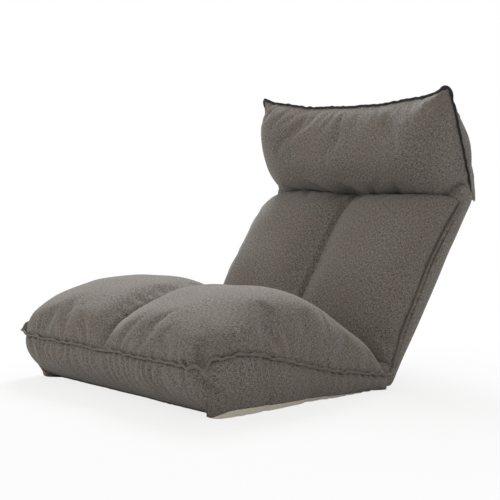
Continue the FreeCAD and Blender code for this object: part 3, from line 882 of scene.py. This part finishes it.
front_face = head_face(head_front_line, steep=11)
rear_face = head_face(head_rear_line, steep=18)
for sheet in (front_face, rear_face):
    sheet[0] = front_face[0]
    sheet[-1] = front_face[-1]
    sheet[:, 0] = front_face[:, 0]
    sheet[:, -1] = front_face[:, -1]
head_pillow = closed_pillow("head_pillow_linen", on_head(front_face), on_head(rear_face))
held = held_points(front_face, len(head_pillow.data.vertices), {}, under_held=0)
puff(head_pillow, held, pressure=3.0, slack=0.03, cap=0.010)
gaps, runs = edge_measures(on_head(front_face))
inner_gaps = gaps.reshape(head_rows, head_columns)[1:-1, 1:-1].ravel()
inner_runs = runs.reshape(head_rows, head_columns)[1:-1, 1:-1].ravel()
ruffle(head_pillow, np.r_[gaps, inner_gaps], np.r_[runs, inner_runs],
       gather=0.0020, reach=0.020, wave=0.026, lumps=0.0040, lump_size=0.08, seed=41.0)
dimple = on_head([[0.0, 0.000, 0.030], [0.0, 0.020, 0.042], [0.0, 0.045, 0.055]])
press(head_pillow, [
    (dimple, 0.006, 0.026),
    (on_head([[0.175, 0.004, 0.020], [0.205, 0.030, 0.030], [0.238, 0.050, 0.018]]), 0.005, 0.008),
    (on_head([[0.195, 0.000, 0.010], [0.225, 0.018, 0.016], [0.252, 0.026, 0.004]]), 0.005, 0.007),
    (on_head([[0.190, 0.120, 0.040], [0.222, 0.112, 0.030], [0.255, 0.110, 0.006]]), 0.003, 0.008)])
smooth_finish(head_pillow)
head_pillow.data.materials.append(grey_linen)
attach(head_pillow, "head")
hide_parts("head_pillow_front", "head_pillow_rear", "head_core_foam")


# Headrest binding: a dark cloth edge sewn in all round the headrest, drawn out into an ear
# at each top corner.

charcoal_tone = (0.035, 0.034, 0.034)
charcoal_binding = overlocked("charcoal_binding", charcoal_tone)
binding_points = 520
smoothings = 7
binding_wide = 0.0065
binding_ear = 0.017
binding_span = 7
head_ring = even_ring(places(head_pillow)[grid_edge(front_face)], binding_points)
for smoothing in range(smoothings):
    head_ring = (np.roll(head_ring, 1, axis=0) + head_ring + np.roll(head_ring, -1, axis=0)) / 3
flat_middle = on_head([0, 0.105, seam_w])
corner = on_head([head_x, head_top, seam_w])
binding_out = np.roll(head_ring, -binding_span, axis=0) - np.roll(head_ring, binding_span, axis=0)
binding_out = np.cross(binding_out, on_head([0, 0, 1]) - on_head([0, 0, 0]))
binding_out *= np.sign(np.sum(binding_out * (head_ring - flat_middle)))
binding_out /= np.linalg.norm(binding_out, axis=1, keepdims=True)
from_corner = np.abs(head_ring - (0, corner[1], corner[2])) - (corner[0], 0, 0)
ears = np.exp(-(np.linalg.norm(from_corner, axis=1) / binding_ear) ** 2)
shown_share = np.clip((head_ring[:, 2] - on_head([0, 0.004, seam_w])[2]) / 0.01, 0.35, 1)
head_path = np.vstack([head_ring, head_ring[:1]])
head_away = np.vstack([binding_out, binding_out[:1]])
band = binding_wide * (1 + 0.9 * ears) * shown_share
head_binding = flange("head_binding", head_path, head_away, np.r_[band, band[:1]], thick=0.0036,
                      wave=0.4, seed=15.0)
head_binding.data.materials.append(charcoal_binding)
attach(head_binding, "head")
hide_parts("head_piping")


# Rolls of linen round the two axes: they close the crease in front of each hinge and the
# bend behind it, whichever way the boards turn.

roll_radius = 0.0214


def axis_roll(name, axis, half, radius):
    """Roll of linen along an axis, rounded at its ends."""
    turns = np.linspace(0, 2 * math.pi, 40, endpoint=False)
    ends = ((half + 0.002, 0.35), (half + 0.001, 0.75), (half - 0.002, 0.96))
    stations = [(-x, r) for x, r in ends]
    stations += [(x, 1.0) for x in np.linspace(-half + 0.008, half - 0.008, 60)]
    stations += [(x, r) for x, r in reversed(ends)]
    points = []
    cloth = []
    for x, share in stations:
        for turn in turns:
            r = radius * share
            points.append((x, axis[1] + r * math.cos(turn), axis[2] + r * math.sin(turn)))
            cloth.append((x + (1 - share) * radius, radius * turn))
    return cloth_piece(name, np.array(points), tube_faces(len(turns), len(stations)), np.array(cloth))


for name, axis, body, node in (("recline_roll", recline, "seat", "hinge_cover"),
                               ("head_roll", head_axis, "back", "head_hinge_cover")):
    roll = axis_roll(name, axis, body_x - 0.001, roll_radius)
    roll.data.materials.append(grey_linen)
    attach(roll, body)
    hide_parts(node)


# Frame and ratchets, hidden in the padding: black painted tube, and steel plates, arms,
# pawls and springs with a fine rolled grain.

def metal(name, tone, metallic, rough, grain):
    """Rolled or painted metal, with streaks along the row X axis and a little dust."""
    look = Look(bpy.data.materials.new(name))
    where = look.node("ShaderNodeTexCoord", out="Object")
    streak = look.node("ShaderNodeMapping", None, {"Vector": where, "Scale": (40.0, 900.0, 900.0)})
    mark = look.node("ShaderNodeTexNoise", None, {"Vector": streak, "Scale": 1.0, "Detail": 4.0})
    dust = look.node("ShaderNodeTexNoise", None, {"Vector": where, "Scale": 60.0, "Detail": 5.0})
    dark = tuple(c * (1 - grain) for c in tone) + (1,)
    light = tuple(c * (1 + grain) for c in tone) + (1,)
    bump = look.node("ShaderNodeBump", None,
                     {"Strength": 0.2, "Distance": 0.0002, "Height": mark}, "Normal")
    shader = look.node("ShaderNodeBsdfPrincipled", None, {
        "Base Color": look.mix(mark * 0.5 + dust * 0.5, dark, light), "Metallic": metallic,
        "Roughness": dust * 0.2 + rough, "Normal": bump})
    return look.end("ShaderNodeOutputMaterial", shader)


finishes = {
    "frame_paint": metal("black_tube_paint", (0.030, 0.030, 0.032),
                         metallic=0.0, rough=0.35, grain=0.25),
    "ratchet_steel": metal("ratchet_steel_rolled", (0.40, 0.40, 0.41),
                           metallic=1.0, rough=0.30, grain=0.15),
    "zinc_steel": metal("spring_steel_zinc", (0.62, 0.62, 0.60),
                        metallic=1.0, rough=0.25, grain=0.12)}
slots = {part["node"]: part["material_slot"] for part in frame["record"]["subparts"]}
for node, part in frame["nodes"].items():
    if slots[node] in finishes:
        part.data.materials.clear()
        part.data.materials.append(finishes[slots[node]])
